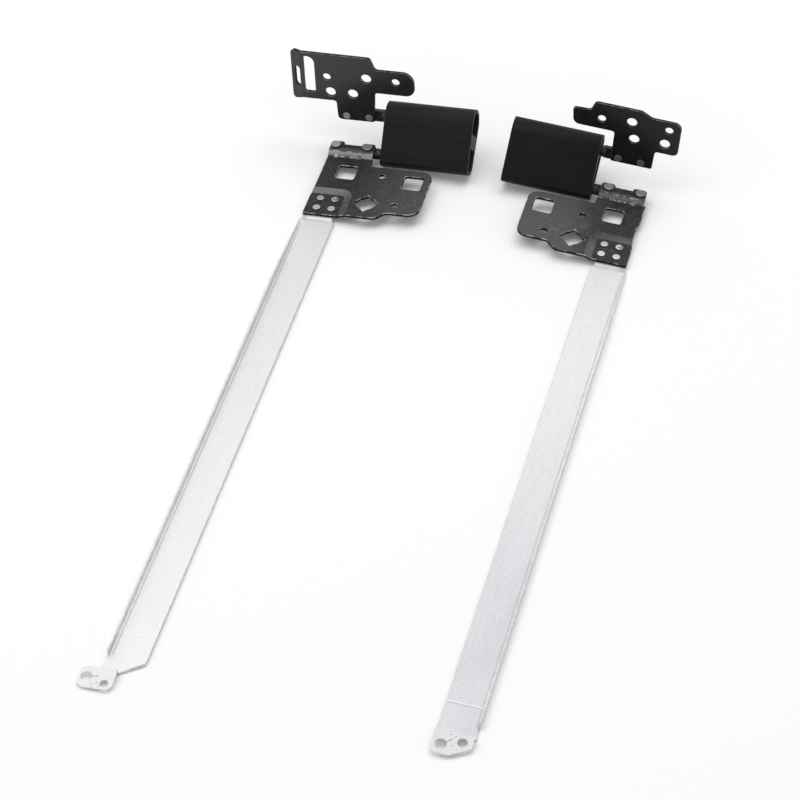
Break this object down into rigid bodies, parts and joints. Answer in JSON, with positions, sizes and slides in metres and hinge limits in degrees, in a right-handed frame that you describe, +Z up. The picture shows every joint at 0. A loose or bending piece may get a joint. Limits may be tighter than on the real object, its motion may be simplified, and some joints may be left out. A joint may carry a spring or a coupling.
{
  "type": "laptop hinge pair",
  "caption": "Mirrored pair of convertible-laptop hinges: geared friction shafts in dark covers, pierced lid plates with long flanged screen strips, and drilled base brackets.",
  "frame": {"origin": "middle of the pair's bounding box, on the surface it lies on", "axes": "+X from the left hinge to the right one, +Y from the strips' end tabs to the covers, +Z up"},
  "size_m": [0.104, 0.2148, 0.0286],
  "materials": {
    "black_plate": "satin black over steel sheet, worn paler at the edges",
    "cover": "satin black, finely brushed along the shafts",
    "strip": "satin zinc-plated sheet",
    "bright_rivet": "bright turned steel",
    "dark_rivet": "dull dark grey steel",
    "shaft": "blackened steel",
    "works": "oiled steel"
  },
  "bodies": {
    "lids": {"left_lid_strip": "strip", "left_lid_plate": "black_plate", "left_strip_rivets": "bright_rivet", "left_lid_shaft": "shaft", "left_lid_rivets": "dark_rivet", "left_lid_gear": "works", "left_lid_discs": "works", "left_lid_springs": "works", "left_lid_nut": "works", "right_lid_strip": "strip", "right_lid_plate": "black_plate", "right_strip_rivets": "bright_rivet", "right_lid_shaft": "shaft", "right_lid_rivets": "dark_rivet", "right_lid_gear": "works", "right_lid_discs": "works", "right_lid_springs": "works", "right_lid_nut": "works"},
    "left_cover": {"left_cover": "cover", "left_end_plate": "works", "left_gear_plate": "works", "left_friction_plates": "works", "left_idler_pins": "works"},
    "left_base": {"left_base_shaft": "shaft", "left_base_bracket": "black_plate", "left_base_rivets": "dark_rivet", "left_base_gear": "works", "left_base_discs": "works", "left_base_springs": "works", "left_base_nut": "works"},
    "left_idler_lid": {"left_idler_lid": "works"},
    "left_idler_base": {"left_idler_base": "works"},
    "right_cover": {"right_cover": "cover", "right_end_plate": "works", "right_gear_plate": "works", "right_friction_plates": "works", "right_idler_pins": "works"},
    "right_base": {"right_base_shaft": "shaft", "right_base_bracket": "black_plate", "right_base_rivets": "dark_rivet", "right_base_gear": "works", "right_base_discs": "works", "right_base_springs": "works", "right_base_nut": "works"},
    "right_idler_lid": {"right_idler_lid": "works"},
    "right_idler_base": {"right_idler_base": "works"}
  },
  "joints": [
    {"name": "left_cover_turn", "type": "hinge", "parent": "lids", "child": "left_cover", "pos_m": [-0.02216, 0.09608, 0.00329], "axis": [0.9978, 0, 0.0665], "range_deg": [-135, 45]},
    {"name": "left_base_turn", "type": "hinge", "parent": "left_cover", "child": "left_base", "pos_m": [-0.02264, 0.1033, 0.01048], "axis": [0.9978, 0, 0.0665], "range_deg": [-135, 45]},
    {"name": "left_idler_lid_spin", "type": "hinge", "parent": "left_cover", "child": "left_idler_lid", "pos_m": [-0.02232, 0.09849, 0.00568], "axis": [0.9978, 0, 0.0665], "range_deg": [-135, 45]},
    {"name": "left_idler_base_spin", "type": "hinge", "parent": "left_cover", "child": "left_idler_base", "pos_m": [-0.02248, 0.10089, 0.00808], "axis": [0.9978, 0, 0.0665], "range_deg": [-45, 135]},
    {"name": "right_cover_turn", "type": "hinge", "parent": "lids", "child": "right_cover", "pos_m": [0.028, 0.09608, 0.00329], "axis": [0.9978, 0, -0.0665], "range_deg": [-135, 45]},
    {"name": "right_base_turn", "type": "hinge", "parent": "right_cover", "child": "right_base", "pos_m": [0.02848, 0.1033, 0.01048], "axis": [0.9978, 0, -0.0665], "range_deg": [-135, 45]},
    {"name": "right_idler_lid_spin", "type": "hinge", "parent": "right_cover", "child": "right_idler_lid", "pos_m": [0.02816, 0.09849, 0.00568], "axis": [0.9978, 0, -0.0665], "range_deg": [-135, 45]},
    {"name": "right_idler_base_spin", "type": "hinge", "parent": "right_cover", "child": "right_idler_base", "pos_m": [0.02832, 0.10089, 0.00808], "axis": [0.9978, 0, -0.0665], "range_deg": [-45, 135]}
  ],
  "couplings": [
    {"joint": "left_base_turn", "follows": "left_cover_turn", "ratio": 1},
    {"joint": "left_idler_lid_spin", "follows": "left_cover_turn", "ratio": 1},
    {"joint": "left_idler_base_spin", "follows": "left_cover_turn", "ratio": -1},
    {"joint": "right_base_turn", "follows": "right_cover_turn", "ratio": 1},
    {"joint": "right_idler_lid_spin", "follows": "right_cover_turn", "ratio": 1},
    {"joint": "right_idler_base_spin", "follows": "right_cover_turn", "ratio": -1}
  ]
}
